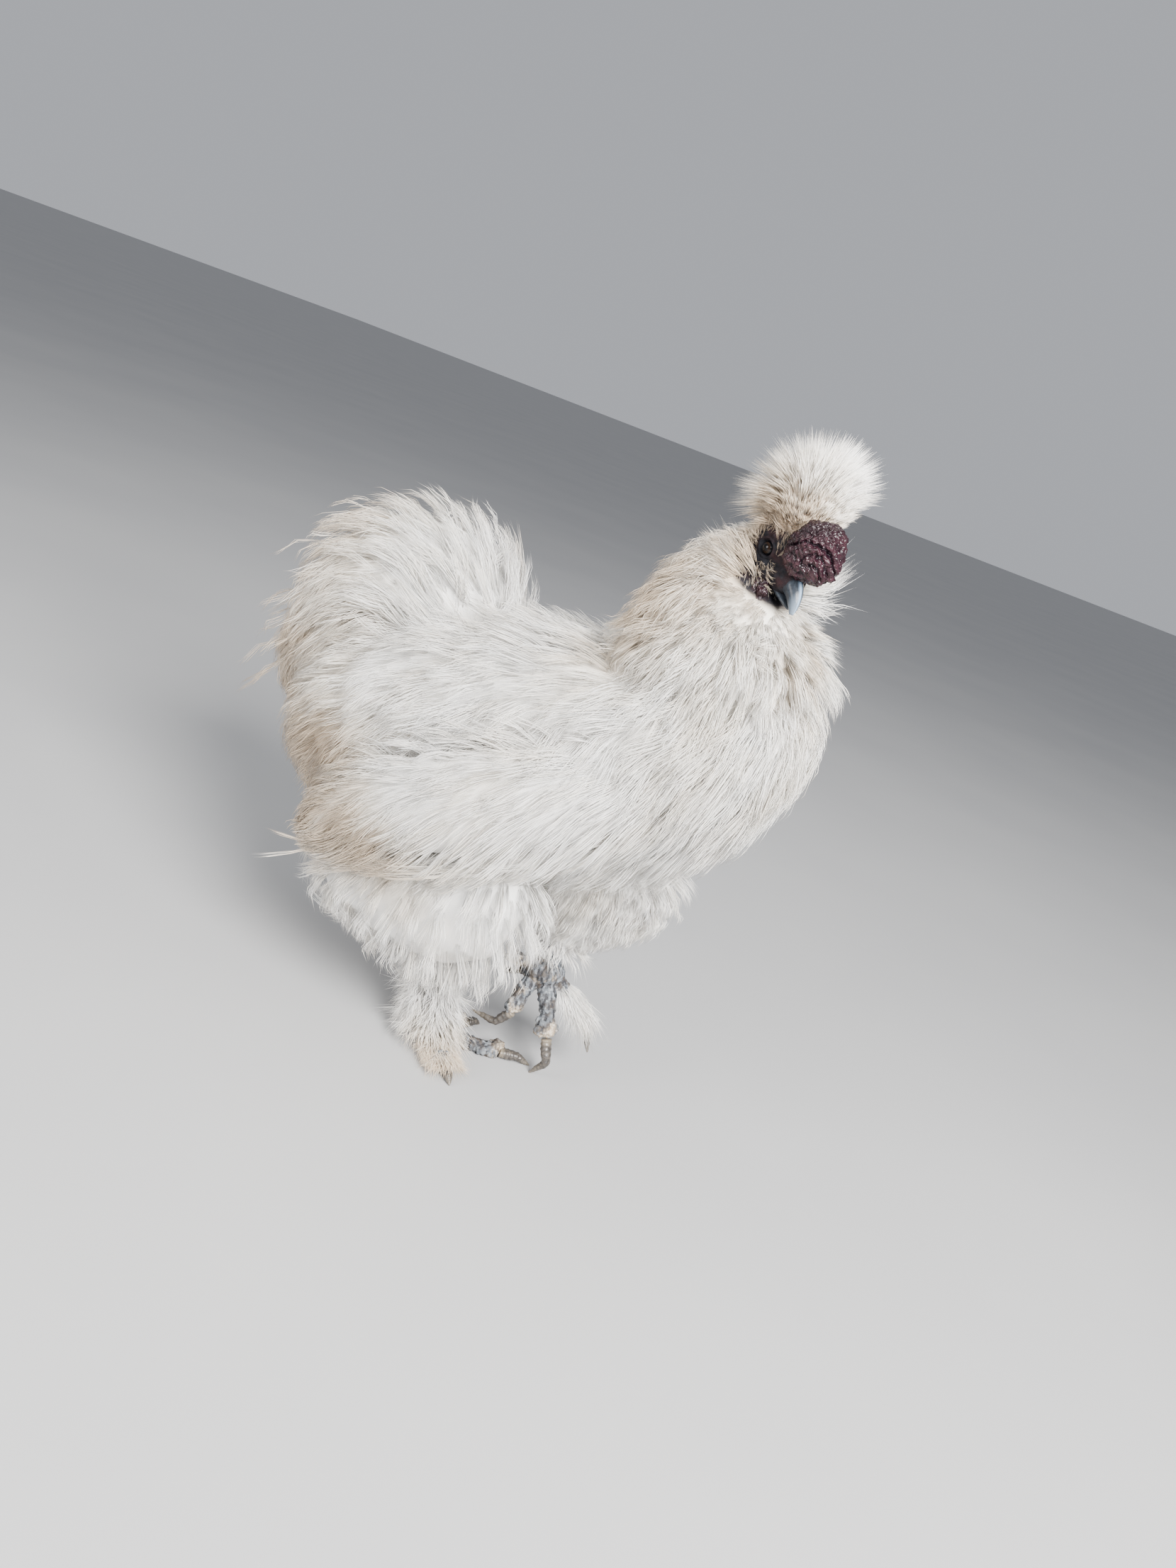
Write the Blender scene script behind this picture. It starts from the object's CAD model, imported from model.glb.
import math

import bmesh
import bpy
import numpy as np
from mathutils import Matrix, Vector


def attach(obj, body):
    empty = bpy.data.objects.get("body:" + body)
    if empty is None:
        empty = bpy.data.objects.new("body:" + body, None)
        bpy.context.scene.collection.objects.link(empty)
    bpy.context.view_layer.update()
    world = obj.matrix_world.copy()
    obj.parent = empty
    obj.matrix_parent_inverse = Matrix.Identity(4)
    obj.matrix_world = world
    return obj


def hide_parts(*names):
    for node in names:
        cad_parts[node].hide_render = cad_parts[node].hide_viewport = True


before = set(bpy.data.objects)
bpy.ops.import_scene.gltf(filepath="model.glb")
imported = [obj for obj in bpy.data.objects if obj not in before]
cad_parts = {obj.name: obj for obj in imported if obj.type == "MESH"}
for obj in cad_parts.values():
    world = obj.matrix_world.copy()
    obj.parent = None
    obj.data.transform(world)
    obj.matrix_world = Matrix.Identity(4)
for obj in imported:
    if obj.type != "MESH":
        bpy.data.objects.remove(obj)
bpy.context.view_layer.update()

# The lengths of the body
# A chicken's body is a few rounded lengths: the trunk, neck, tail cushion, folded wings and thighs.  Each is
# given as rings along a spine, out to the tips of the coat, and both the skin and the coat are laid by it.

MIDDLE = 0.012  # the body's middle plane, to the left of the planted foot


def unit(rows):
    return rows / np.maximum(np.linalg.norm(rows, axis=-1, keepdims=True), 1e-9)


def size_of(rows):
    return np.linalg.norm(rows, axis=1)


def within(values):
    """Values held between 0 and 1."""
    return np.clip(values, 0, 1)


def smooth_curve(points, count):
    """Points at even steps of a smooth curve through the given ones."""
    rows = np.array(points, float)
    rows = np.vstack([2 * rows[0] - rows[1], rows, 2 * rows[-1] - rows[-2]])
    steps = np.linspace(0, len(rows) - 3 - 1e-6, count)
    first = steps.astype(int)
    t = (steps - first)[:, None]
    a, b, c, d = (rows[first + i] for i in range(4))
    cubic = 3 * b - a - 3 * c + d
    return 0.5 * (2 * b + (c - a) * t + (2 * a - 5 * b + 4 * c - d) * t ** 2 + cubic * t ** 3)


class Length:
    """A rounded length of body: x, y, z, half width and half height of the rings along its spine."""

    def __init__(self, rings, core, top=(0, 0, 1), count=81):
        self.core = core
        self.top = np.array(top, float)
        self.rows = smooth_curve(rings, count)
        self.spine = self.rows[:, :3]
        self.run = unit(np.gradient(self.spine, axis=0))
        self.long = size_of(np.diff(self.spine, axis=0)).sum()

    def frame(self, along):
        """Centre, run, side, rise, half width and half height at shares of the way along."""
        place = within(along) * (len(self.rows) - 1)
        low = np.minimum(place.astype(int), len(self.rows) - 2)
        part = (place - low)[:, None]
        row = self.rows[low] * (1 - part) + self.rows[low + 1] * part
        run = unit(self.run[low] * (1 - part) + self.run[low + 1] * part)
        side = unit(np.cross(run, self.top))
        over = (along - within(along))[:, None] * self.long
        return row[:, :3] + over * run, run, side, np.cross(side, run), row[:, 3], row[:, 4]

    def at(self, along, degrees, depth):
        """Points at shares of the way along, angles round the spine and shares of the way out to the tips."""
        along = np.asarray(along, float)
        centre, _, side, rise, wide, high = self.frame(along)
        turn = np.radians(degrees)
        out = side * (wide * np.cos(turn))[:, None] + rise * (high * np.sin(turn))[:, None]
        return centre + np.broadcast_to(depth, along.shape)[:, None] * out

    def depth(self, points):
        """How far out points lie: under 1 is inside the tips."""
        gaps = np.linalg.norm(points[:, None, :] - self.spine[None, ::2, :], axis=2)
        along = gaps.argmin(axis=1) * 2 / (len(self.rows) - 1)
        centre, run, side, rise, wide, high = self.frame(along)
        rest = points - centre
        dots = [np.einsum("ij,ij->i", rest, axis) for axis in (side, rise, run)]
        return np.sqrt((dots[0] / wide) ** 2 + (dots[1] / high) ** 2 + (2 * dots[2] / (wide + high)) ** 2)


TRUNK = Length([
    (0.149, MIDDLE, 0.263, 0.004, 0.004), (0.141, MIDDLE, 0.261, 0.025, 0.028),
    (0.121, MIDDLE - 0.003, 0.252, 0.043, 0.043), (0.090, MIDDLE - 0.006, 0.231, 0.063, 0.062),
    (0.041, MIDDLE - 0.003, 0.207, 0.083, 0.078), (-0.014, MIDDLE, 0.190, 0.091, 0.081),
    (-0.069, MIDDLE, 0.174, 0.086, 0.083), (-0.118, MIDDLE, 0.156, 0.073, 0.074),
    (-0.155, MIDDLE, 0.145, 0.044, 0.048), (-0.178, MIDDLE, 0.140, 0.004, 0.004)], core=0.76)
NECK = Length([
    (0.080, MIDDLE, 0.236, 0.046, 0.052), (0.086, MIDDLE, 0.262, 0.058, 0.065),
    (0.086, MIDDLE, 0.288, 0.057, 0.064), (0.080, MIDDLE - 0.003, 0.312, 0.047, 0.050),
    (0.078, MIDDLE - 0.006, 0.330, 0.032, 0.031), (0.082, MIDDLE - 0.007, 0.346, 0.013, 0.014)],
    core=0.70, top=(1, 0, 0))
CUSHION = Length([
    (-0.040, MIDDLE, 0.202, 0.032, 0.032), (-0.074, MIDDLE, 0.229, 0.052, 0.050),
    (-0.109, MIDDLE, 0.248, 0.065, 0.060), (-0.140, MIDDLE, 0.234, 0.064, 0.058),
    (-0.159, MIDDLE, 0.195, 0.050, 0.044), (-0.174, MIDDLE, 0.160, 0.034, 0.031),
    (-0.180, MIDDLE, 0.138, 0.004, 0.004)], core=0.66)


def folded_wing(side):
    """The folded wing of one side: -1 is the bird's right."""
    rings = ((0.116, 0.036, 0.224, 0.003, 0.004), (0.094, 0.048, 0.214, 0.010, 0.025),
             (0.056, 0.067, 0.194, 0.017, 0.043), (0.011, 0.080, 0.170, 0.018, 0.046),
             (-0.039, 0.080, 0.142, 0.015, 0.036), (-0.074, 0.073, 0.112, 0.010, 0.022),
             (-0.092, 0.068, 0.096, 0.003, 0.004))
    rows = [(x, MIDDLE + side * out, z, high, thick) for x, out, z, thick, high in rings]
    return Length(rows, core=0.60, top=(0, side, 0))


SIDES = {"right": -1, "left": 1}
WINGS = {name: folded_wing(side) for name, side in SIDES.items()}
THIGHS = {
    "right": Length([
        (-0.008, -0.032, 0.150, 0.040, 0.070), (-0.016, -0.026, 0.121, 0.046, 0.092),
        (-0.038, -0.021, 0.099, 0.047, 0.076), (-0.066, -0.013, 0.081, 0.042, 0.045),
        (-0.057, -0.006, 0.064, 0.029, 0.028), (-0.050, -0.003, 0.052, 0.006, 0.008)],
        core=0.72, top=(1, 0, 0)),
    "left": Length([
        (0.024, 0.060, 0.160, 0.038, 0.054), (0.026, 0.060, 0.134, 0.044, 0.074),
        (0.028, 0.059, 0.112, 0.042, 0.070), (0.031, 0.056, 0.094, 0.034, 0.052),
        (0.032, 0.054, 0.080, 0.022, 0.028), (0.032, 0.053, 0.072, 0.006, 0.008)],
        core=0.72, top=(1, 0, 0))}
SHANKS = {
    "right": ((-0.020, -0.004, 0.086), (-0.014, -0.003, 0.060), (-0.005, 0.0, 0.030), (0.0, 0.0, 0.010)),
    "left": ((0.032, 0.054, 0.104), (0.036, 0.047, 0.084), (0.040, 0.041, 0.070), (0.041, 0.039, 0.060))}

# The head's own axes: +X along the bill, turned to the bird's right and bowed, with the eyes near its middle
HEAD = np.array((0.0995, 0.004, 0.3445))
HEAD_TURN = np.array(Matrix.Rotation(math.radians(-32), 3, "Z") @ Matrix.Rotation(math.radians(25), 3, "Y"))
EYE = np.array((0.001, 0.0104, 0.001))  # the left eye's middle, on the head's axes


def on_head(points):
    return HEAD + np.asarray(points, float) @ HEAD_TURN.T


def from_head(points):
    return (points - HEAD) @ HEAD_TURN


# The flesh
# Below the coat the bird is one skin from comb to hocks.  The lengths are lofted at their cores, joined with
# the skull, cheeks and lids, and melted into one closed surface, finer on the head than below.


def loft(shape, centres, runs, sides, wides, highs, segments):
    """Bridges rings set across a spine and closes both ends."""
    rings = []
    last = len(centres) - 1
    for i, (centre, run, side, wide, high) in enumerate(zip(centres, runs, sides, wides, highs)):
        rise = np.cross(side, run)
        place = Matrix([(side[k] * wide, rise[k] * high, run[k], centre[k]) for k in range(3)] + [(0, 0, 0, 1)])
        made = bmesh.ops.create_circle(
            shape, cap_ends=i in (0, last), cap_tris=False, segments=segments, radius=1.0, matrix=place)
        ring = set(made["verts"])
        rings.append([edge for vert in ring for edge in vert.link_edges if edge.other_vert(vert) in ring])
    for near, far in zip(rings, rings[1:]):
        bmesh.ops.bridge_loops(shape, edges=list(set(near) | set(far)))


TRIM = 0.05  # how much shorter the flesh is than its coat at each end


def loft_length(shape, length, depth, rings, segments):
    along = np.linspace(TRIM, 1.0 - TRIM, rings)
    centre, run, side, _, wide, high = length.frame(along)
    loft(shape, centre, run, side, wide * depth, high * depth, segments)


def loft_tube(shape, path, radii, rings, segments, flat=1.0, top=(0, 0, 1)):
    """A tapering limb through the path's points, with a radius at each."""
    rows = smooth_curve(np.column_stack([path, radii]), rings)
    run = unit(np.gradient(rows[:, :3], axis=0))
    side = unit(np.cross(run, np.array(top, float)))
    loft(shape, rows[:, :3], run, side, rows[:, 3], rows[:, 3] * flat, segments)


def head_ball(shape, centre, radii, fineness=4):
    """An egg on the head's axes."""
    turn = Matrix(HEAD_TURN.tolist()).to_4x4()
    place = Matrix.Translation(on_head(centre)) @ turn @ Matrix.Diagonal((*radii, 1))
    bmesh.ops.create_icosphere(shape, subdivisions=fineness, radius=1.0, matrix=place)


def new_piece(name, shape):
    """Turns the shape's faces outward and makes it an object."""
    bmesh.ops.recalc_face_normals(shape, faces=shape.faces)
    mesh = bpy.data.meshes.new(name)
    shape.to_mesh(mesh)
    shape.free()
    thing = bpy.data.objects.new(name, mesh)
    bpy.context.scene.collection.objects.link(thing)
    return thing


def baked(thing):
    """Applies the piece's modifiers to its mesh."""
    view = bpy.context.evaluated_depsgraph_get()
    mesh = bpy.data.meshes.new_from_object(thing.evaluated_get(view))
    thing.modifiers.clear()
    thing.data = mesh


def melted(name, shape, grain, rounds):
    """Melts overlapping closed shapes into one surface and smooths it."""
    thing = new_piece(name, shape)
    melt = thing.modifiers.new("melt", "REMESH")
    melt.mode = "VOXEL"
    melt.voxel_size = grain
    soften = thing.modifiers.new("soften", "SMOOTH")
    soften.factor = 0.5
    soften.iterations = rounds
    baked(thing)
    return thing


def points_of(thing, kind="co"):
    """Where the piece's points are, or which way its surface faces there for the kind "normal"."""
    rows = np.empty(len(thing.data.vertices) * 3, np.float32)
    thing.data.vertices.foreach_get(kind, rows)
    return rows.reshape(-1, 3).astype(float)


def spots_on(thing, keep, count, dice):
    """Random spots spread evenly over the part of a piece's skin that keep() picks, with their normals."""
    faces = thing.data.polygons
    kinds = (("area", 1), ("center", 3), ("normal", 3))
    kept = {kind: np.empty(len(faces) * wide, np.float32) for kind, wide in kinds}
    for kind, rows in kept.items():
        faces.foreach_get(kind, rows)
    places, rises = (kept[kind].reshape(-1, 3).astype(float) for kind in ("center", "normal"))
    weight = kept["area"] * keep(places)
    chosen = dice.choice(len(faces), count, replace=False, p=weight / weight.sum())
    return places[chosen], rises[chosen]


def set_points(thing, rows):
    thing.data.vertices.foreach_set("co", rows.astype(np.float32).ravel())
    thing.data.update()


def set_value(thing, name, values):
    """Keeps one number for each point of the piece, for its material to read."""
    kept = thing.data.attributes.new(name, "FLOAT", "POINT")
    kept.data.foreach_set("value", np.asarray(values, np.float32))


CREST_CORE = np.array((0.1005, 0.005, 0.3685))
CREST_SEAT = 0.0145  # radius of the knob of skin that the crest grows from
FLESH_GRAIN = 0.0024  # the size that the skin is melted at, finer on the face
FACE_GRAIN = 0.0007
SHANK_RADII = (0.0095, 0.0080, 0.0070, 0.0078)
shape = bmesh.new()
loft_length(shape, TRUNK, TRUNK.core, 15, 28)
loft_length(shape, NECK, NECK.core - 0.04, 11, 24)
loft_length(shape, CUSHION, CUSHION.core, 11, 24)
for name in SIDES:
    loft_length(shape, WINGS[name], WINGS[name].core, 11, 20)
    loft_length(shape, THIGHS[name], THIGHS[name].core, 11, 20)
    loft_tube(shape, SHANKS[name], SHANK_RADII, 12, 14, top=(1, 0, 0))
# The throat and the jowls under the beard
head_ball(shape, (0.005, 0, -0.031), (0.0150, 0.0180, 0.0125))
for side in SIDES.values():
    head_ball(shape, (-0.007, side * 0.014, -0.018), (0.0105, 0.0085, 0.0110))
bmesh.ops.create_icosphere(shape, subdivisions=4, radius=CREST_SEAT, matrix=Matrix.Translation(CREST_CORE))
flesh = melted("skin", shape, FLESH_GRAIN, 4)

# The skull, the root of the bill, the comb's seat and the nape, then each side's cheek, brow and ear
shape = bmesh.new()
head_ball(shape, (-0.005, 0, 0.001), (0.0232, 0.0138, 0.0172))
head_ball(shape, (0.009, 0, -0.0045), (0.0130, 0.0098, 0.0102))
head_ball(shape, (0.012, 0, 0.0050), (0.0070, 0.0085, 0.0080))
loft_tube(shape, on_head([(-0.014, 0, -0.004), (-0.020, 0, -0.016), (-0.024, 0, -0.030)]),
          (0.0130, 0.0135, 0.0150), 8, 20, top=(1, 0, 0))
for side in SIDES.values():
    head_ball(shape, (-0.001, side * 0.0066, -0.0072), (0.0130, 0.0076, 0.0086))
    head_ball(shape, (0.0010, side * 0.0082, 0.0062), (0.0085, 0.0042, 0.0036))
    head_ball(shape, (-0.0105, side * 0.0095, -0.0045), (0.0042, 0.0036, 0.0048))
face = melted("face", shape, FACE_GRAIN, 5)


def hump(gap, wide):
    """1 where a gap is 0, falling off smoothly over a width."""
    return np.exp(-(gap / wide) ** 2)


# Lids, wrinkles round the eyes and fine folds down the cheeks, pressed into the melted head
LID_LONG = 1.16  # the lids' length to a circle's, and how far they are pressed down
LID_LOW = 1.10
FOLD_SLANT = np.array((0.5, 0.0, 0.87))
points = points_of(face)
normals = points_of(face, "normal")
local = from_head(points)
shift = np.zeros(len(points))
for side in SIDES.values():
    eye = EYE * (1, side, 1)
    gap = local - eye
    # Seen from the side the open lids are an almond, longer along the bill than high
    leaf = np.sqrt((gap[:, 0] / LID_LONG) ** 2 + (gap[:, 2] * LID_LOW) ** 2)
    facing = within(gap[:, 1] * side / 0.004 + 0.6)
    lid = 0.0011 * hump(leaf - 0.0047, 0.0008)
    outer = 0.00055 * hump(leaf - 0.0069, 0.0007)
    fold = -0.00060 * hump(leaf - 0.0058, 0.0004)
    socket = -0.0030 * within(1 - leaf / 0.0042) ** 0.5
    rays = 0.00022 * np.sin(9 * np.arctan2(gap[:, 2], gap[:, 0]) + 3 * side)
    rays = rays * hump(leaf - 0.0085, 0.0022)
    shift += facing * (lid + outer + fold + socket + rays)
slant = local @ FOLD_SLANT
weave = np.sin(slant / 0.00085 + 2.2 * np.sin(local[:, 0] / 0.0031) + 1.7 * np.sin(local[:, 1] / 0.0023))
pits = np.sin(local[:, 0] / 0.00052) * np.sin(local[:, 1] / 0.00047) * np.sin(local[:, 2] / 0.00056)
shift += 0.00012 * weave + 0.00008 * pits
set_points(face, points + normals * shift[:, None])

step = flesh.modifiers.new("head", "BOOLEAN")
step.operation = "UNION"
step.solver = "MANIFOLD"
step.object = face
baked(flesh)
bpy.data.objects.remove(face, do_unlink=True)


def drift(points, size, seed):
    """A smooth wandering vector that changes over about this distance."""
    dice = np.random.default_rng(seed)
    total = np.zeros_like(points)
    for _ in range(5):
        wave = unit(dice.normal(size=(1, 3)))[0] * 2 * math.pi / size * dice.uniform(0.6, 1.4)
        total += np.sin(points @ wave + dice.uniform(0, 6.28))[:, None] * dice.normal(size=3)
    return total / 2.2


def lumps(points, size, seed):
    """A rough lumpy height over points, between about -1 and 1."""
    rough = drift(points, size, seed)[:, 0] + 0.6 * drift(points, 0.45 * size, seed + 1)[:, 0]
    return 0.55 * (rough + 0.4 * drift(points, 0.2 * size, seed + 2)[:, 0])


class Finish:
    """A Principled material and the few nodes that its colour and relief are made of."""

    def __init__(self, name, roughness, **sockets):
        self.paint = bpy.data.materials.new(name)
        self.paint.use_nodes = True
        self.tree = self.paint.node_tree
        self.shader = self.tree.nodes["Principled BSDF"]
        self.shader.inputs["Roughness"].default_value = roughness
        for socket, value in sockets.items():
            self.shader.inputs[socket.replace("_", " ")].default_value = value
        self.place = self.tree.nodes.new("ShaderNodeTexCoord").outputs["Object"]

    def join(self, source, socket):
        if isinstance(source, bpy.types.NodeSocket):
            self.tree.links.new(source, socket)
        elif isinstance(source, tuple) and len(source) == 3 and socket.type == "RGBA":
            socket.default_value = (*source, 1.0)
        else:
            socket.default_value = source

    def value(self, name):
        """The number kept for each point of the piece under this name."""
        step = self.tree.nodes.new("ShaderNodeAttribute")
        step.attribute_name = name
        return step.outputs["Fac"]

    def noise(self, scale, detail=4.0, distortion=0.0):
        step = self.tree.nodes.new("ShaderNodeTexNoise")
        self.join(self.place, step.inputs["Vector"])
        for socket, amount in (("Scale", scale), ("Detail", detail), ("Distortion", distortion)):
            step.inputs[socket].default_value = amount
        return step.outputs["Fac"]

    def cells(self, scale):
        step = self.tree.nodes.new("ShaderNodeTexVoronoi")
        self.join(self.place, step.inputs["Vector"])
        step.inputs["Scale"].default_value = scale
        return step.outputs["Distance"]

    def ramp(self, source, *stops):
        """A run of colours or greys over a value, as (place, colour) stops."""
        step = self.tree.nodes.new("ShaderNodeValToRGB")
        marks = step.color_ramp.elements
        while len(marks) < len(stops):
            marks.new(0.5)
        for mark, (place, colour) in zip(marks, stops):
            mark.position = place
            mark.color = (*colour, 1.0) if isinstance(colour, tuple) else (colour, colour, colour, 1.0)
        self.join(source, step.inputs["Fac"])
        return step.outputs["Color"]

    def mix(self, share, low, high, blend="MIX"):
        step = self.tree.nodes.new("ShaderNodeMix")
        step.data_type = "RGBA"
        step.blend_type = blend
        for name, source in (("Factor", share), ("A", low), ("B", high)):
            kind = "VALUE" if name == "Factor" else "RGBA"
            socket = next(s for s in step.inputs if s.name == name and s.type == kind)
            self.join(source, socket)
        return next(s for s in step.outputs if s.type == "RGBA")

    def sum(self, a, b, operation="ADD"):
        step = self.tree.nodes.new("ShaderNodeMath")
        step.operation = operation
        self.join(a, step.inputs[0])
        self.join(b, step.inputs[1])
        return step.outputs[0]

    def relief(self, height, deep, strength=1.0):
        """Bumps this deep, in metres, stacked on any that are there."""
        step = self.tree.nodes.new("ShaderNodeBump")
        step.inputs["Strength"].default_value = strength
        step.inputs["Distance"].default_value = deep
        self.join(height, step.inputs["Height"])
        normal = self.shader.inputs["Normal"]
        if normal.links:
            self.join(normal.links[0].from_socket, step.inputs["Normal"])
        self.join(step.outputs["Normal"], normal)

    def colour(self, source):
        self.join(source, self.shader.inputs["Base Color"])

    def cover(self, thing):
        """Makes this the piece's one material."""
        thing.data.materials.clear()
        thing.data.materials.append(self.paint)
        thing.data.shade_smooth()


def stained(points):
    """How creamy the coat is at these points: most at the tail's and wings' ends, by feet and in hollows."""
    x, y, z = points.T
    beside = np.abs(y - MIDDLE)
    head = from_head(points)
    wander = 0.10 * drift(points, 0.045, 71)[:, 0] + 0.05 * drift(points, 0.014, 72)[:, 1]
    tail = 1.25 * within((-x - 0.080) / 0.130) ** 1.2 * within((z - 0.085) / 0.06)
    wing = within((0.03 - x) / 0.12) * within((0.168 - z) / 0.04) * within((z - 0.075) / 0.03)
    wing_edge = within((0.09 - x) / 0.06) * within((0.150 - z) / 0.03) * within((beside - 0.080) / 0.010)
    hollow = 0.45 * np.exp(-((x + 0.085) / 0.035) ** 2 - ((z - 0.160) / 0.022) ** 2)
    hollow = hollow * within(beside / 0.04 - 0.4)
    hock = 0.55 * within((0.026 - z) / 0.024) * within((x + 0.012) / 0.020)
    nape = np.exp(-((x - 0.050) / 0.032) ** 2 - ((z - 0.302) / 0.042) ** 2)
    nape = np.interp(y, (-0.02, 0.05), (0.58, 0.15)) * nape
    face = np.clip(0.62 - 26 * head[:, 1], 0.15, 1.0) * hump(size_of(head), 0.030)
    poll = 0.75 * hump(size_of(points - (0.1005, 0.005, 0.362)), 0.019)
    throat = 0.30 * hump(size_of(points - (0.130, 0.004, 0.296)), 0.022)
    stain = 0.05 + throat + 0.50 * tail + 0.55 * wing + 0.35 * wing_edge
    return within(stain + hollow + hock + nape + poll + 0.70 * face + wander)


def silk_tone(finish, stain):
    """The coat's colours, from white to the stain's cream and brown."""
    stain = finish.sum(stain, finish.sum(finish.noise(45.0, 3.0), 0.20, "MULTIPLY"))
    return finish.ramp(
        finish.sum(stain, 0.22, "SUBTRACT"), (0.0, (0.84, 0.83, 0.81)), (0.28, (0.76, 0.71, 0.63)),
        (0.60, (0.57, 0.46, 0.34)), (1.0, (0.33, 0.24, 0.16)))


# Bare face skin is blue-black and dry, warmer by the comb; under the coat it carries the coat's own colours
def bareness(points):
    """1 on the bare face and 0 under the coat."""
    local = from_head(points)
    bare = within((local[:, 0] + 0.0170) / 0.0030) * within((0.031 - size_of(local)) / 0.004)
    bare = bare * within((local[:, 2] + 0.0210) / 0.0030)
    return bare * within((size_of(points - CREST_CORE) - CREST_SEAT - 0.0010) / 0.0030)


points = points_of(flesh)
set_value(flesh, "stain", stained(points) + 0.12)
set_value(flesh, "bare", bareness(points))
skin = Finish("bare_and_downy_skin", 0.60, Specular_IOR_Level=0.08)
blotch = skin.noise(420.0, 5.0)
dark = skin.ramp(blotch, (0.30, (0.0045, 0.0045, 0.0060)), (0.62, (0.012, 0.012, 0.015)),
                 (0.80, (0.034, 0.031, 0.032)))
warm = skin.ramp(skin.noise(160.0), (0.45, 0.0), (0.70, 1.0))
dark = skin.mix(warm, dark, (0.018, 0.009, 0.010))
skin.colour(skin.mix(skin.value("bare"), silk_tone(skin, skin.value("stain")), dark))
skin.relief(skin.noise(2600.0, 3.0), 0.00016)
skin.relief(skin.cells(1500.0), 0.00022, 0.6)
skin.cover(flesh)
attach(flesh, "root")
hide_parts("torso", "neck", "head", "tail", "wing_right", "wing_left", "thigh_right", "thigh_left",
            "shank_right", "shank_left")

# The eyes
# Each is a wet ball, almost black, with a narrow brown iris that shows only where light falls into it, and a
# clear bulge over it.  It sits behind the lids.

EYE_RADIUS = 0.0042

for name, side in SIDES.items():
    shape = bmesh.new()
    seat = on_head(EYE * (1, side, 1))
    bmesh.ops.create_icosphere(shape, subdivisions=5, radius=EYE_RADIUS, matrix=Matrix.Translation(seat))
    eye = new_piece("eyeball_" + name, shape)
    points = points_of(eye)
    gaze = HEAD_TURN @ np.array((0.20, side, 0.02))
    gaze /= np.linalg.norm(gaze)
    out = (points - seat) / EYE_RADIUS
    off_axis = np.degrees(np.arccos(np.clip(out @ gaze, -1, 1)))
    bulge = 0.00045 * within(1 - (off_axis / 46) ** 2)
    set_points(eye, points + out * bulge[:, None])
    set_value(eye, "off_axis", off_axis / 90)
    glass = Finish("wet_eye_" + name, 0.06, Specular_IOR_Level=0.14, Coat_Weight=0.10, Coat_Roughness=0.02)
    brown = glass.ramp(
        glass.value("off_axis"), (0.0, (0.002, 0.002, 0.0025)), (0.24, (0.002, 0.002, 0.0025)),
        (0.27, (0.007, 0.0035, 0.002)), (0.42, (0.011, 0.0055, 0.003)), (0.47, (0.003, 0.003, 0.004)))
    glass.colour(brown)
    glass.cover(eye)
    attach(eye, "root")
    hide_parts("eye_" + name)

# The walnut comb
# A silkie's comb is a mulberry-coloured cushion of skin, broader than long, with a cross groove, small shiny
# bulbs above it and thick folds below.  It is one lump, sculpted by cells and folds.

COMB_CENTRE = np.array((0.0166, 0.0, 0.0153))
COMB_RADII = np.array((0.0122, 0.0150, 0.0166))
COMB_ROOM = 0.965  # its share of those sizes before its relief is added
RELIEF = 0.0022  # the height that takes the skin's colour from its darkest to its palest
GOLDEN = 2.399963  # the turn, in radians, that spaces an even spiral
draw = np.random.default_rng(5)


def spread_over_ball(count, lowest=-1.0):
    """Directions spread evenly over a ball, from the top down to a height."""
    lift = 1 - (1 - lowest) * (np.arange(count) + 0.5) / count
    swing = GOLDEN * np.arange(count)
    flat = np.sqrt(1 - lift ** 2)
    return np.column_stack([flat * np.cos(swing), flat * np.sin(swing), lift])


def crease(places, path, wide):
    """How near each place on a sheet is to a crease's path, from 0 to 1 along its middle."""
    rows = smooth_curve(path, 60)
    near = np.full(len(places), 1e9)
    for start in range(0, len(places), 8000):
        gap = places[start:start + 8000, None] - rows[None]
        near[start:start + 8000] = np.linalg.norm(gap, axis=2).min(axis=1)
    return hump(near, wide)


def bulges(out, count, stray, wide):
    """Rounded bulbs over a ball, from 0 in the creases between them to 1, by the two nearest centres."""
    centres = unit(spread_over_ball(count) + draw.normal(0, stray, (count, 3)))
    gaps = np.sort(np.arccos(np.clip(out @ centres.T, -1, 1)), axis=1)
    return np.sqrt(within((gaps[:, 1] - gaps[:, 0]) / wide))


shape = bmesh.new()
bmesh.ops.create_icosphere(shape, subdivisions=7, radius=1.0)
comb = new_piece("comb_flesh", shape)
out = unit(points_of(comb))
solid = out * COMB_RADII
bulbs = bulges(out, 420, 0.09, 0.09) - 0.6
swell = 0.00075 * lumps(solid, 0.012, 81) + 0.00055 * lumps(solid, 0.0048, 84)
swell = swell + 0.00020 * lumps(solid, 0.0016, 87)
# The grooves and folds of its front follow paths on a sheet that faces ahead
ACROSS = np.array((0.20, 0.861, 0.468))
DOWN = np.array((0.75, 0.173, -0.638))
AHEAD = np.array((0.717, -0.569, 0.402))
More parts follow.
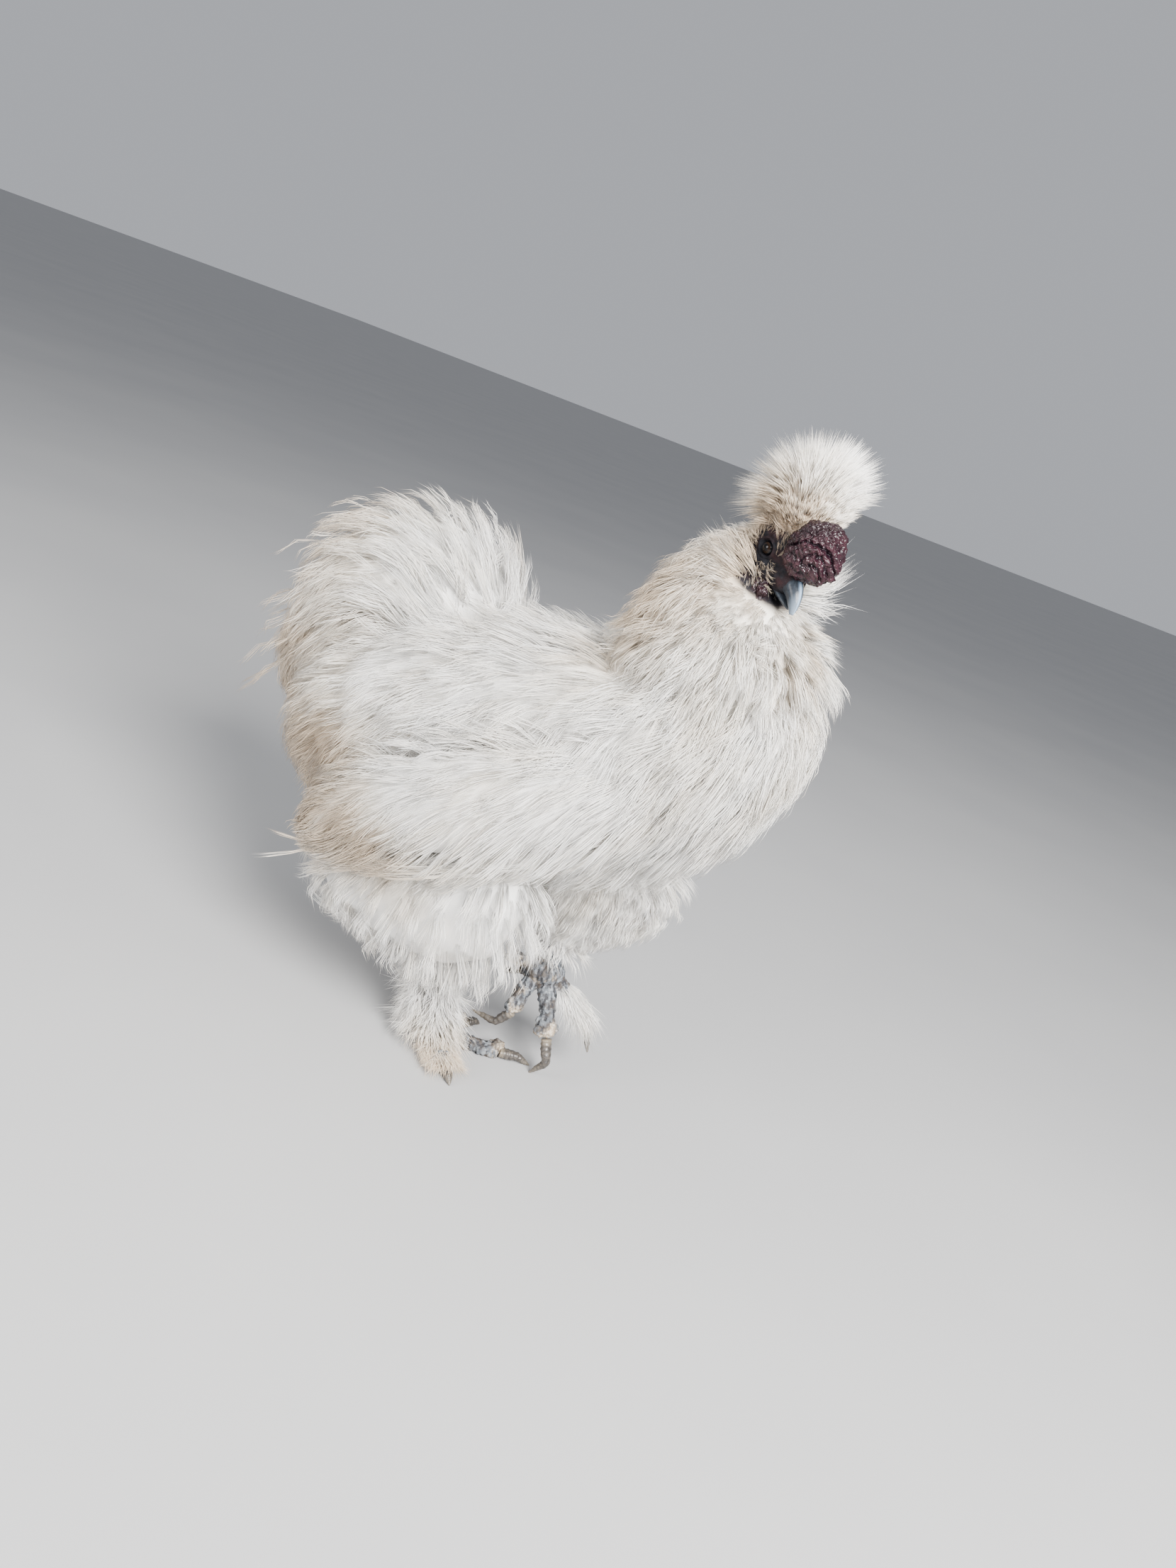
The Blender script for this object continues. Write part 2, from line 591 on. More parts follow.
# Each has a depth in metres, then a half width and a path in millimetres across and down the sheet
GROOVES = (
    (0.0020, 0.75, ((-15.5, -4.5), (-12.0, -2.6), (-8.0, -2.8), (-4.0, -1.3), (0.8, 0.7), (4.4, 2.4),
                    (6.8, 6.0), (9.7, 9.4), (13.5, 12.5))),
    (0.0011, 0.62, ((-8.6, 8.4), (-8.2, 5.6), (-6.2, 3.8), (-2.7, 2.9), (0.6, 4.6), (3.0, 7.8), (4.9, 11.2),
                    (3.4, 13.6))),
    (0.0012, 0.55, ((-4.6, 8.6), (-2.6, 7.6), (-0.4, 9.2), (0.9, 12.2), (-0.6, 16.0))),
    (0.0008, 0.60, ((-14.5, 6.0), (-11.4, 8.4), (-8.2, 11.2), (-5.0, 12.6))),
    (0.0008, 0.50, ((-12.8, 0.6), (-11.6, 3.4), (-12.4, 6.6))),
    (0.0009, 0.55, ((2.0, -13.0), (4.2, -9.2), (3.4, -5.0), (6.4, -1.8), (10.4, 0.4))),
    (0.0008, 0.50, ((-9.6, -9.4), (-6.0, -8.0), (-4.2, -5.2), (-6.0, -3.8))))
FOLDS = (
    (0.0010, 1.2, ((-9.4, 1.2), (-4.0, 0.6), (0.8, 2.8), (4.2, 6.0), (7.4, 10.6), (6.6, 14.4))),
    (0.0008, 0.9, ((-6.0, 6.6), (-3.2, 5.2), (-0.4, 6.4), (1.6, 9.6), (2.2, 13.0))))
flat = np.column_stack([solid @ ACROSS, solid @ DOWN]) * 1000
sheet = flat + 0.75 * np.column_stack([lumps(solid, 0.0045, 88), lumps(solid, 0.0045, 89)])
facing = within((out @ AHEAD + 0.25) / 0.5)
grooves, folds = (facing * sum(deep * crease(sheet, path, wide) for deep, wide, path in rows)
                  for rows in (GROOVES, FOLDS))
below = within((sheet[:, 1] - 0.45 * sheet[:, 0]) / 3.0)
bulbs = (0.00058 - 0.00034 * below * facing) * bulbs
relief = swell + folds - grooves + bulbs
# Its lower lobe hangs beside the bill
lobe = within(flat[:, 1] / 11.0) * within((flat[:, 0] + 5.0) / 6.0)
droop = 0.0023 * lobe[:, None] * DOWN
lump = COMB_CENTRE + out * (COMB_ROOM * COMB_RADII) + unit(out / COMB_RADII) * relief[:, None]
set_points(comb, on_head(lump + droop))
set_value(comb, "high", within(0.55 + (bulbs + folds - grooves + 0.5 * swell) / RELIEF))
set_value(comb, "upper", within(0.5 - sheet[:, 1] / 16))
mulberry = Finish("mulberry_comb_skin", 0.24, Coat_Weight=0.12, Coat_Roughness=0.08, Specular_IOR_Level=0.20)
tone = mulberry.ramp(mulberry.noise(330.0, 6.0), (0.30, (0.008, 0.0024, 0.0045)),
                     (0.52, (0.021, 0.0066, 0.0105)), (0.72, (0.044, 0.017, 0.023)))
hollows = mulberry.ramp(mulberry.value("high"), (0.10, 1.0), (0.50, 0.0))
tone = mulberry.mix(hollows, tone, (0.008, 0.003, 0.006))
top = mulberry.ramp(mulberry.value("upper"), (0.55, 0.0), (1.0, 0.85))
tone = mulberry.mix(top, tone, (0.010, 0.004, 0.006))
flecks = mulberry.ramp(mulberry.cells(520.0), (0.06, 1.0), (0.10, 0.0))
scurf = mulberry.ramp(mulberry.noise(240.0, 2.0), (0.50, 0.0), (0.62, 0.75))
scurf = mulberry.sum(flecks, scurf, "MULTIPLY")
mulberry.colour(mulberry.mix(scurf, tone, (0.62, 0.52, 0.52)))
mulberry.relief(mulberry.noise(1500.0, 4.0), 0.00022)
mulberry.relief(mulberry.cells(700.0), 0.00030, 0.6)
mulberry.cover(comb)
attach(comb, "root")
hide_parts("comb")

# The wattles
# Two small dark lobes of the comb's skin hang beside the gape, creased like the comb but thinner.  Each is an
# egg sunk in the cheek at its top.

WATTLE_MIDDLE = np.array((0.0105, 0.0094, -0.0200))
WATTLE_RADII = np.array((0.0066, 0.0034, 0.0088))
WATTLE_SHADE = 0.92  # how far they are as dark as the comb's upper half

for name, side in SIDES.items():
    shape = bmesh.new()
    bmesh.ops.create_icosphere(shape, subdivisions=6, radius=1.0)
    wattle = new_piece("wattle_lobe_" + name, shape)
    out = unit(points_of(wattle))
    creases = 0.0006 * np.sin(9 * out[:, 2] + 3 * np.sin(4 * out[:, 0] + side))
    creases = creases + 0.0004 * np.sin(17 * out[:, 0] + 5 * out[:, 2])
    relief = creases + 0.0007 * (bulges(out, 110, 0.08, 0.2) - 0.5)
    lobe = WATTLE_MIDDLE * (1, side, 1) + out * WATTLE_RADII
    set_points(wattle, on_head(lobe + out * relief[:, None]))
    set_value(wattle, "high", within(0.5 + relief / RELIEF))
    set_value(wattle, "upper", np.full(len(out), WATTLE_SHADE))
    mulberry.cover(wattle)
    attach(wattle, "root")
    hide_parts("wattle_" + name)

# The bill
# Slate horn, short and stout: a ridged upper half that hooks over the lower one, with a slit nostril on each
# side and a thin cutting edge.  It is lofted from its base in the face to its tip.


def bill_half(name, node, rows, hooked):
    """A half of the bill through rings of distance, height, half width and half height on the head's axes."""
    shape = bmesh.new()
    rings = smooth_curve(rows, 26)
    centres = on_head(np.column_stack([rings[:, 0], np.zeros(len(rings)), rings[:, 1]]))
    run = unit(np.gradient(centres, axis=0))
    side = np.tile(HEAD_TURN[:, 1], (len(rings), 1))
    loft(shape, centres, run, side, rings[:, 2], rings[:, 3], 40)
    piece = new_piece(name, shape)
    local = from_head(points_of(piece))
    mid = np.interp(local[:, 0], rings[:, 0], rings[:, 1])
    wide = np.interp(local[:, 0], rings[:, 0], rings[:, 2])
    high = np.interp(local[:, 0], rings[:, 0], rings[:, 3])
    across = local[:, 1] / np.maximum(wide, 1e-6)
    rise = (local[:, 2] - mid) / np.maximum(high, 1e-6)
    if hooked:
        # A ridge along the top, cutting edges that hang at the sides, and the slits of the nostrils
        local[:, 2] += 0.10 * high * hump(across, 0.22) * (rise > 0)
        local[:, 2] -= 0.55 * high * within(-rise) * within((np.abs(across) - 0.55) / 0.45)
        slit = np.exp(-(((local[:, 0] - 0.0182) / 0.0016) ** 2 + ((local[:, 2] - mid - 0.0004) / 0.0006) ** 2))
        local[:, 1] -= 0.0011 * np.sign(local[:, 1]) * slit * (np.abs(across) > 0.5)
    local[:, 2] += 0.00005 * np.sin(local[:, 0] / 0.00042 + 3.0 * rise)
    set_points(piece, on_head(local))
    set_value(piece, "out", within((local[:, 0] - 0.012) / 0.0195))
    set_value(piece, "crown", hump(across - 0.16, 0.30) * within(0.4 + rise))
    horn.cover(piece)
    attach(piece, "root")
    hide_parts(node)


horn = Finish("slate_bill_horn", 0.26, Coat_Weight=0.06, Coat_Roughness=0.10, Specular_IOR_Level=0.14)
streaks = horn.noise(520.0, 5.0, 1.2)
slate = horn.ramp(streaks, (0.30, (0.012, 0.014, 0.018)), (0.70, (0.026, 0.032, 0.040)))
tip_tone = horn.ramp(horn.value("out"), (0.72, 0.0), (1.0, 0.85))
slate = horn.mix(tip_tone, slate, (0.16, 0.20, 0.25))
crown = horn.ramp(horn.value("crown"), (0.12, 0.0), (0.45, 0.35), (0.85, 1.0))
slate = horn.mix(crown, slate, (0.24, 0.33, 0.45))
root_tone = horn.ramp(horn.value("out"), (0.0, 1.0), (0.22, 0.0))
horn.colour(horn.mix(root_tone, slate, (0.030, 0.036, 0.050)))
horn.relief(streaks, 0.00010)
horn.relief(horn.noise(3000.0, 2.0), 0.00003)
bill_half("bill_upper_horn", "bill_upper", (
    (0.0095, -0.0035, 0.0066, 0.0052), (0.0150, -0.0036, 0.0061, 0.0050), (0.0200, -0.0043, 0.0052, 0.0046),
    (0.0250, -0.0062, 0.0039, 0.0037), (0.0288, -0.0092, 0.0024, 0.0026), (0.0310, -0.0125, 0.0009, 0.0012)),
          hooked=True)
bill_half("bill_lower_horn", "bill_lower", (
    (0.0095, -0.0112, 0.0056, 0.0027), (0.0150, -0.0114, 0.0051, 0.0024), (0.0200, -0.0118, 0.0040, 0.0019),
    (0.0240, -0.0121, 0.0027, 0.0014), (0.0266, -0.0124, 0.0011, 0.0008)), hooked=False)

# The feet
# Slate-blue scaly feet with five toes each.  Old crusted scales lie in rings round the toes, with cream lumps
# by the claws and pads underneath.  Each foot is lofted toe by toe, melted into one skin and roughened.

PADS = {"right": (0.0, 0.0, 0.0072), "left": (0.041, 0.039, 0.062)}
TOES = {
    "right": {
        "middle": ((0.002, 0.002, 0.0046), (0.020, 0.014, 0.0042), (0.037, 0.0265, 0.0038),
                   (0.047, 0.0340, 0.0040), (0.054, 0.0395, 0.0006)),
        "inner": ((0.001, 0.003, 0.0042), (0.003, 0.017, 0.0038), (0.005, 0.030, 0.0034),
                  (0.007, 0.039, 0.0038), (0.008, 0.045, 0.0006)),
        "outer": ((0.002, -0.002, 0.0042), (0.016, -0.010, 0.0038), (0.030, -0.018, 0.0034),
                  (0.038, -0.023, 0.0038), (0.043, -0.026, 0.0006)),
        "hind": ((-0.002, 0.001, 0.0039), (-0.013, 0.005, 0.0035), (-0.024, 0.009, 0.0031),
                 (-0.032, 0.012, 0.0035), (-0.038, 0.014, 0.0006)),
        "fifth": ((-0.003, 0.003, 0.0120), (-0.012, 0.010, 0.0140), (-0.019, 0.015, 0.0180),
                  (-0.024, 0.018, 0.0240), (-0.026, 0.019, 0.0310))},
    "left": {
        "middle": ((0.042, 0.039, 0.060), (0.051, 0.037, 0.046), (0.060, 0.035, 0.027),
                   (0.066, 0.034, 0.0120), (0.058, 0.034, -0.0004)),
        "inner": ((0.039, 0.037, 0.060), (0.037, 0.030, 0.048), (0.038, 0.026, 0.034),
                  (0.030, 0.022, 0.0230), (0.014, 0.019, 0.0220)),
        "outer": ((0.044, 0.042, 0.060), (0.056, 0.048, 0.051), (0.068, 0.054, 0.040),
                  (0.075, 0.056, 0.0310), (0.079, 0.057, 0.0210)),
        "hind": ((0.037, 0.042, 0.061), (0.029, 0.044, 0.055), (0.022, 0.045, 0.050),
                 (0.015, 0.045, 0.0450), (0.009, 0.045, 0.0400)),
        "fifth": ((0.037, 0.038, 0.064), (0.030, 0.034, 0.062), (0.023, 0.031, 0.061),
                  (0.017, 0.029, 0.0600), (0.012, 0.028, 0.0600))}}
TOE_THICK = {"middle": 0.0062, "inner": 0.0056, "outer": 0.0056, "hind": 0.0052, "fifth": 0.0044}
SCUTE = 0.0034  # from one scute to the next
PAD_RADII = (0.0118, 0.0108, 0.0086)
SHIN_RADII = (0.0066, 0.0066, 0.0074)
HORNY_LUMPS = ((0.93, 0.62), (0.80, 0.50), (0.62, 0.34))  # share of a toe's length, and size to its thickness
FOOT_GRAIN = 0.0006
CLAW_TAPER = np.array((0.56, 0.58, 0.46, 0.30, 0.07))

crusted = Finish("slate_and_cream_scales", 0.62, Specular_IOR_Level=0.4)
blue = crusted.ramp(crusted.noise(380.0, 6.0), (0.30, (0.040, 0.044, 0.052)), (0.52, (0.120, 0.132, 0.148)),
                    (0.72, (0.300, 0.318, 0.330)))
umber = crusted.ramp(crusted.noise(140.0, 3.0), (0.48, 0.0), (0.60, 0.85))
blue = crusted.mix(umber, blue, (0.050, 0.036, 0.026))
blue = crusted.mix(crusted.ramp(crusted.value("height"), (0.18, 1.0), (0.42, 0.0)), blue, (0.030, 0.030, 0.034))
cream = crusted.ramp(crusted.noise(520.0, 6.0), (0.32, (0.07, 0.045, 0.030)), (0.47, (0.34, 0.27, 0.19)),
                     (0.70, (0.66, 0.60, 0.51)))
crusted.colour(crusted.mix(crusted.value("crust"), blue, cream))
crusted.relief(crusted.noise(1500.0, 5.0), 0.00035)
crusted.relief(crusted.cells(1100.0), 0.00030, 0.6)

claw_horn = Finish("ridged_claw_horn", 0.36, Specular_IOR_Level=0.5)
grain = claw_horn.noise(260.0, 6.0, 2.0)
tone = claw_horn.ramp(grain, (0.30, (0.020, 0.018, 0.017)), (0.55, (0.060, 0.052, 0.045)),
                      (0.75, (0.14, 0.118, 0.092)))
claw_tip = claw_horn.ramp(claw_horn.value("out"), (0.55, 0.0), (1.0, 0.7))
tone = claw_horn.mix(claw_tip, tone, (0.17, 0.145, 0.110))
claw_root = claw_horn.ramp(claw_horn.value("out"), (0.0, 0.75), (0.15, 0.0))
claw_horn.colour(claw_horn.mix(claw_root, tone, (0.22, 0.18, 0.13)))
claw_horn.relief(grain, 0.00022)
claw_horn.relief(claw_horn.noise(1800.0, 3.0), 0.00006)

for name in SIDES:
    shape = bmesh.new()
    pad = Matrix.Translation(PADS[name]) @ Matrix.Diagonal((*PAD_RADII, 1))
    bmesh.ops.create_icosphere(shape, subdivisions=4, radius=1.0, matrix=pad)
    loft_tube(shape, np.array(SHANKS[name])[-3:], SHIN_RADII, 20, 24, top=(1, 0, 0))
    for toe, path in TOES[name].items():
        path = np.array(path)
        thick = TOE_THICK[toe]
        steep = abs(path[2, 2] - path[0, 2]) > 0.02
        route = smooth_curve(path[:3], 60)
        gone = np.concatenate([[0], np.cumsum(size_of(np.diff(route, axis=0)))])
        tread = 0.5 + 0.5 * np.cos(2 * math.pi * gone / SCUTE)
        joints = 0.09 * np.sin(gone / 0.0060)
        radii = thick * (0.98 - 0.20 * gone / gone[-1] + joints - 0.11 * tread ** 3)
        radii[-4:] *= (0.97, 0.90, 0.78, 0.55)
        run = unit(np.gradient(route, axis=0))
        side = unit(np.cross(run, np.array((1.0, 0, 0) if steep else (0, 0, 1.0))))
        loft(shape, route, run, side, radii, radii * 0.92, 24)
        dice = np.random.default_rng(len(toe) + 40)
        for share, size in HORNY_LUMPS:
            for _ in range(3):
                out = dice.normal(0, 1, 3)
                out[2] = abs(out[2]) * (0.3 if steep else 1.0)
                spot = route[int(59 * share)] + 0.60 * thick * unit(out[None])[0]
                lump = Matrix.Translation(spot) @ Matrix.Scale(size * thick * dice.uniform(0.7, 1.2), 4)
                bmesh.ops.create_icosphere(shape, subdivisions=3, radius=1.0, matrix=lump)
    foot = melted("scaly_foot_" + name, shape, FOOT_GRAIN, 2)
    points = points_of(foot)
    normals = points_of(foot, "normal")
    height = lumps(points, 0.0036, 51)
    # The cream crust is thickest at the toes' ends
    ends = np.zeros(len(points))
    for toe, path in TOES[name].items():
        weight = 1.0 if toe in ("middle", "inner", "outer") else 0.6
        gap = size_of(points - np.array(path[2]))
        ends = np.maximum(ends, weight * hump(gap, 0.0075))
    crust = within(2.2 * (ends * 0.75 + 0.42 * lumps(points, 0.011, 61) - 0.22))
    grain = np.abs(lumps(points, 0.0022, 57))
    points = points + normals * (0.00052 * height + (0.00030 + 0.00075 * crust) * grain)[:, None]
    points[:, 2] = np.maximum(points[:, 2], 0.0)
    set_points(foot, points)
    set_value(foot, "height", within(0.5 + 0.5 * height))
    set_value(foot, "crust", crust)
    crusted.cover(foot)
    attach(foot, "root")
    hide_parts("foot_" + name)

    # The claws are long, ridged horn, bent down and, on the lifted foot, curled back
    for toe, path in TOES[name].items():
        path = np.array(path)
        thick = TOE_THICK[toe]
        base = path[2] + 0.10 * (path[3] - path[2])
        route = np.array([base, 0.5 * (base + path[3]), path[3], 0.45 * path[3] + 0.55 * path[4], path[4]])
        steep = abs(path[3][2] - path[2][2]) > 0.006
        shape = bmesh.new()
        loft_tube(shape, route, thick * CLAW_TAPER, 46, 20, flat=0.88, top=(1, 0.2, 0) if steep else (0, 0, 1))
        claw = new_piece(f"curved_claw_{name}_{toe}", shape)
        points = points_of(claw)
        rings = smooth_curve(route, 200)
        nearest = np.linalg.norm(points[:, None] - rings[None], axis=2).argmin(axis=1)
        share = nearest / 199
        out = unit(points - rings[nearest])
        ridges = 0.00022 * np.sin(share * 60 + 2 * np.sin(share * 9)) + 0.00030 * lumps(points, 0.0030, 66)
        points = points + out * (ridges * (1 - share) ** 0.5)[:, None]
        points[:, 2] = np.maximum(points[:, 2], 0.0)
        set_points(claw, points)
        set_value(claw, "out", share)
        claw_horn.cover(claw)
        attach(claw, "root")
        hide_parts(f"claw_{name}_{toe}")

# The down of the trunk
# A silkie's feathers have no hooks to hold their barbs together, so its coat is loose silk.  It is made as
# thin three-sided strands gathered in tufts, rooted in the flesh and laid along it, a mesh for each region.

CURVED = (0.0, 0.36, 0.72, 1.0)  # shares of the way along a strand where its rings and its point lie
STRAIGHT = (0.0, 0.52, 1.0)
TAPER = ((0.0, 0.36, 0.72), (0.80, 1.0, 0.66))  # a strand's thickness by shares of the way along
PATCH = 0.003  # a tuft's share of its region's unwrap
LOWEST = 0.0004  # no strand goes nearer the ground
SPIRAL = 137.50776  # the turn, in degrees, that spaces tufts evenly round a length
FINE = 0.00018  # half a strand's thickness over most of the body
LOCK = 0.028  # how far across the coat lies the same way


class Coat:
    """Tufts of strands, kept as arrays until they are made one mesh."""

    def __init__(self, seed, steps=CURVED):
        self.dice = np.random.default_rng(seed)
        self.steps = np.array(steps)
        self.rings = len(steps) - 1
        self.points = []
        self.places = []
        self.values = []

    def add(self, root, bend, tip, away, width, place, strands=14, thick=0.00022, clump=0.45, wave=0.030,
            loose=0.10, sheet=1.0, ends=(0.74, 1.06)):
        """Lays tufts from their roots over their bends to their tips, spread to a half width."""
        many = len(root)
        dice = self.dice
        long = size_of(tip - bend) + size_of(bend - root)
        along = unit(tip - root)
        across = unit(np.cross(along, away))
        out = np.cross(across, along)
        shape = (many, strands, 1)
        side = dice.uniform(-1, 1, shape)
        high = dice.normal(0, 0.40 * sheet, shape)
        begin = dice.uniform(0.0, 0.22, shape)
        end = dice.uniform(*ends, shape)
        t = (begin + (end - begin) * self.steps)[..., None]
        root, bend, tip, across, out = (rows[:, None, None, :] for rows in (root, bend, tip, across, out))
        path = (1 - t) ** 2 * root + 2 * t * (1 - t) * bend + t ** 2 * tip
        spread = width[:, None, None, None] * (0.30 + 1.15 * t - clump * 1.15 * t ** 2)
        size = long[:, None, None, None]
        # A tuft sways as one, and each strand a little by itself
        lock = dice.uniform(0, 6.28, (many, 1, 1, 1))
        own = dice.uniform(0, 6.28, (many, strands, 1, 1))
        pace = dice.uniform(0.8, 1.5, (many, 1, 1, 1))
        sway = wave * size * t * np.sin(2 * math.pi * pace * t + lock)
        sway = sway + 0.5 * wave * size * t * np.sin(2 * math.pi * 1.7 * t + own)
        stray = loose * size * t ** 2 * dice.normal(0, 0.35, (many, strands, 1, 2))
        path = path + across * (side[..., None] * spread + sway + stray[..., :1])
        path = path + out * (high[..., None] * spread * 0.55 + 0.5 * sway + stray[..., 1:])
        path[..., 2] = np.maximum(path[..., 2], LOWEST)
        run = unit(path[:, :, 1:] - path[:, :, :-1])
        flat = unit(np.cross(run, np.broadcast_to(out, run.shape)))
        ridge = np.cross(flat, run)
        roll = dice.uniform(-0.9, 0.9, (many, strands, 1, 1))
        flat, ridge = flat * np.cos(roll) + ridge * np.sin(roll), ridge * np.cos(roll) - flat * np.sin(roll)
        taper = np.interp(self.steps[:-1], *TAPER)[:, None]
        half = thick * dice.uniform(0.7, 1.3, (many, strands, 1, 1)) * taper
        rings = path[:, :, :-1]
        ring = np.stack([rings + flat * half, rings + 0.8 * ridge * half, rings - flat * half], axis=3)
        points = np.concatenate([ring.reshape(many * strands, -1, 3), path[:, :, -1].reshape(-1, 1, 3)], axis=1)
        share = np.repeat(t[..., 0], [3] * self.rings + [1], axis=2).reshape(many * strands, -1)
        spot = np.repeat(place, strands, axis=0)[:, None, :]
        leaf = np.stack([share, np.broadcast_to((side.reshape(-1, 1) + 1) / 2, share.shape)], axis=2)
        whim = np.broadcast_to(dice.uniform(0, 1, (many * strands, 1)), share.shape)
        tuft = np.broadcast_to(np.repeat(dice.uniform(0, 1, many), strands)[:, None], share.shape)
        self.points.append(points)
        self.places.append(spot + PATCH * leaf)
        self.values.append(np.stack([share, whim, tuft], axis=2))

    def make(self, name, paint, slot, *nodes):
        """Makes the strands one mesh that stands for these solids."""
        points = np.concatenate(self.points)
        places = within(np.concatenate(self.places))
        values = np.concatenate(self.values).reshape(-1, 3)
        strands = len(points)
        # A strand's faces close its root, join its rings and meet in its point
        faces = [(0, 1, 2)]
        for low in range(0, 3 * self.rings - 3, 3):
            for i in range(3):
                a, b = low + i, low + (i + 1) % 3
                faces += [(b, a, a + 3), (b, a + 3, b + 3)]
        end = 3 * self.rings
        faces += [(end - 2, end - 3, end), (end - 1, end - 2, end), (end - 3, end - 1, end)]
        faces = np.array(faces)
        corners = (faces.ravel()[None, :] + (end + 1) * np.arange(strands)[:, None]).ravel()
        mesh = bpy.data.meshes.new(name)
        mesh.vertices.add(strands * (end + 1))
        mesh.loops.add(len(corners))
        mesh.polygons.add(len(corners) // 3)
        flat = points.reshape(-1, 3)
        mesh.vertices.foreach_set("co", flat.astype(np.float32).ravel())
        mesh.loops.foreach_set("vertex_index", corners.astype(np.int32))
        mesh.polygons.foreach_set("loop_start", np.arange(0, len(corners), 3, dtype=np.int32))
        mesh.polygons.foreach_set("use_smooth", np.ones(len(corners) // 3, bool))
        mesh.update(calc_edges=True)
        unwrap = mesh.uv_layers.new(name="OFBake")
        unwrap.data.foreach_set("uv", places.reshape(-1, 2)[corners].astype(np.float32).ravel())
        thing = bpy.data.objects.new(name, mesh)
        bpy.context.scene.collection.objects.link(thing)
        for kind, column in zip(("along", "whim", "tuft", "stain"), (*values.T, stained(flat))):
            set_value(thing, kind, column)
        mesh.materials.append(paint)
        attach(thing, "root")
        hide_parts(*nodes)


def unwrapped(across, up):
    """Places on a region's unwrap, kept off its edges, from shares of the way over the region."""
    return np.column_stack([0.01 + 0.97 * across, 0.01 + 0.97 * up])


def sown(length, count, first, last, dice):
    """Places spread evenly over a length, as shares of the way along and angles round it."""
    steps = np.linspace(first, last, 300)
    wide, high = length.frame(steps)[-2:]
    load = np.cumsum(wide + high + 0.004)
    share = (np.arange(count) + 0.5) / count
    along = np.interp(share, (load - load[0]) / (load[-1] - load[0]), steps)
    degrees = (np.arange(count) * SPIRAL + dice.normal(0, 3.0, count)) % 360
    return along + dice.normal(0, 0.006, count), degrees


def carried(length, along, degrees, heading, reach):
    """Moves places on a length this far along a heading, held to its surface."""
    here = length.at(along, degrees, 1.0)
    by_along = (length.at(along + 0.01, degrees, 1.0) - here) / 0.01
    by_turn = (length.at(along, degrees + 2.0, 1.0) - here) / 2.0
    aa, tt = (by_along ** 2).sum(axis=1), (by_turn ** 2).sum(axis=1) + 1e-9
    at = (by_along * by_turn).sum(axis=1)
    ah, th = (by_along * heading).sum(axis=1), (by_turn * heading).sum(axis=1)
    spare = np.maximum(aa * tt - at ** 2, 1e-12)
    more_along, more_turn = (ah * tt - th * at) / spare, (th * aa - ah * at) / spare
    moved = size_of(more_along[:, None] * by_along + more_turn[:, None] * by_turn)
    scale = reach / np.maximum(moved, 0.30)
    return along + more_along * scale, degrees + np.clip(more_turn * scale, -40, 40)


def clothe(coat, length, count, span, heading, reach, width, others=(), tips=(0.85, 0.98), lift=0.03,
           cover=0.86, wander=0.35, root=None, ends=1.03, kept_off=None, **more):
    """Covers a length with tufts that lie along a heading, left out where another length covers them.

    Tips and lift say how far out the tufts' ends and middles stand.
    """
    dice = coat.dice
    along, degrees = sown(length, count, *span, dice)
    spot = length.at(along, degrees, 0.92)
    shown = np.ones(count, bool)
    for other in others:
        shown &= other.depth(spot) > cover
    if kept_off is not None:
        shown &= ~kept_off(spot)
    along, degrees, spot = along[shown], degrees[shown], spot[shown]
    count = len(along)
    stray = drift(spot, LOCK, 17) * wander + dice.normal(0, 0.10, (count, 3))
    reach = reach * dice.uniform(0.8, 1.2, count)
    mid = carried(length, along, degrees, unit(heading(spot, along) + stray), 0.5 * reach)
    halfway = length.at(*mid, 1.0)
    stray = drift(halfway, LOCK, 18) * wander
    far = carried(length, *mid, unit(heading(halfway, mid[0]) + stray), 0.5 * reach)
    mid, far = ((np.clip(at[0], 0.005, ends), at[1]) for at in (mid, far))
    out = dice.uniform(*tips, count) + 0.025 * drift(spot, 0.04, 19)[:, 0]
    begin = length.at(along, degrees, (length.core if root is None else root) - 0.05)
    over = length.at(*mid, out + lift)
    end = length.at(*far, out)
    away = unit(halfway - length.at(*mid, 0.3))
    first, last = span
    place = unwrapped(within((along - first) / (last - first)), degrees % 360 / 360)
    coat.add(begin, over, end, away, width * dice.uniform(0.75, 1.3, count), place, **more)


def down_finish(name):
    """Silk in the coat's colours, a little darker at its roots and from strand to strand."""
    silk = Finish(name, 0.50, Sheen_Weight=0.20, Sheen_Roughness=0.45, Specular_IOR_Level=0.35)
    stain = silk.sum(silk.value("stain"), silk.sum(silk.value("whim"), 0.16, "MULTIPLY"))
    stain = silk.sum(stain, silk.sum(silk.value("tuft"), 0.18, "MULTIPLY"))
    root = silk.ramp(silk.value("along"), (0.05, 0.66), (0.60, 1.0))
    silk.colour(silk.mix(1.0, silk_tone(silk, stain), root, "MULTIPLY"))
    return silk.paint


white_down = down_finish("white_silk_down")


def over_trunk(points, along):
    """The way the down lies, forward and down at the breast's front and ever more back behind it."""
    places = (0.0, 0.12, 0.34, 0.7, 1.0)
    back = np.interp(along, places, (-0.15, 0.10, 0.38, 0.60, 0.75))
    fall = np.interp(along, places, (1.0, 1.0, 1.0, 0.95, 0.80))
    return np.column_stack([-back, np.zeros(len(along)), -fall])


limbs = (CUSHION, *WINGS.values(), *THIGHS.values())
for name, span, count, others, seed, steps in (
        ("breast_down", (0.012, 0.34), 980, (NECK,), 21, CURVED),
        ("flank_down", (0.34, 0.66), 940, limbs, 22, CURVED),
        ("rump_down", (0.66, 0.99), 760, limbs, 23, STRAIGHT)):
    coat = Coat(seed, steps)
    clothe(coat, TRUNK, count, span, over_trunk, 0.042, 0.0066, others, tips=(0.84, 1.0), clump=0.75,
           lift=0.01, thick=FINE, cover=0.60)
    coat.make(name, white_down, "down", "torso")

